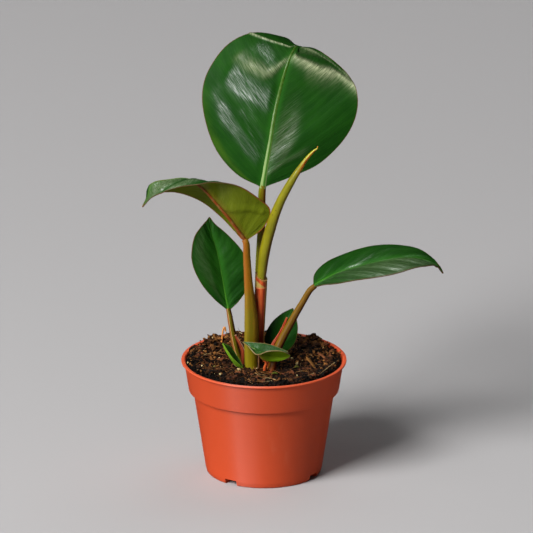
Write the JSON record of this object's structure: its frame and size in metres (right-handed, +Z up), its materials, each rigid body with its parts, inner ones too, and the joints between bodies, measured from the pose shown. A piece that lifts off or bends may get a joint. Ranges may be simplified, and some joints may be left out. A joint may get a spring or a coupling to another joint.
{
  "type": "potted congo rojo philodendron",
  "caption": "Young philodendron with broad glossy leaves, a rolled new leaf and red sheaths, standing in soil in a tapered plastic nursery pot with a rolled rim",
  "frame": {"origin": "the middle of the pot's underside, on the flat central disc that it stands on together with its foot ring", "axes": "+Z up, -Y towards the front that the picture shows, +X to the right seen from the front"},
  "size_m": [0.2185, 0.144, 0.3141],
  "materials": {
    "pot_plastic": "moulded terracotta-coloured plastic with a soft sheen",
    "potting_soil": "coarse dark potting mix with bark and fibres",
    "leaf_blade": "glossy deep green leaf, olive underneath",
    "young_blade": "young light green leaf",
    "petiole": "smooth olive leaf stalk, brown-red on one side",
    "red_stem": "smooth red-brown leaf stalk",
    "red_sheath": "red papery sheath with darker stripes",
    "rolled_leaf": "yellow-olive rolled young leaf",
    "dried_sheath": "dry tan sheath"
  },
  "bodies": {
    "root": {"pot": "pot_plastic", "soil": "potting_soil", "top_petiole": "petiole", "top_blade": "leaf_blade", "middle_petiole": "petiole", "middle_blade": "leaf_blade", "new_leaf_sheath": "red_sheath", "new_leaf": "rolled_leaf", "left_petiole": "petiole", "left_blade": "leaf_blade", "right_petiole": "red_stem", "right_blade": "leaf_blade", "back_petiole": "red_stem", "back_blade": "leaf_blade", "front_petiole": "red_stem", "front_blade": "young_blade", "low_petiole": "young_blade", "low_blade": "young_blade", "left_sheath": "red_sheath", "right_sheath": "red_sheath", "dry_sheath": "dried_sheath", "dry_stalk": "dried_sheath"}
  },
  "joints": []
}
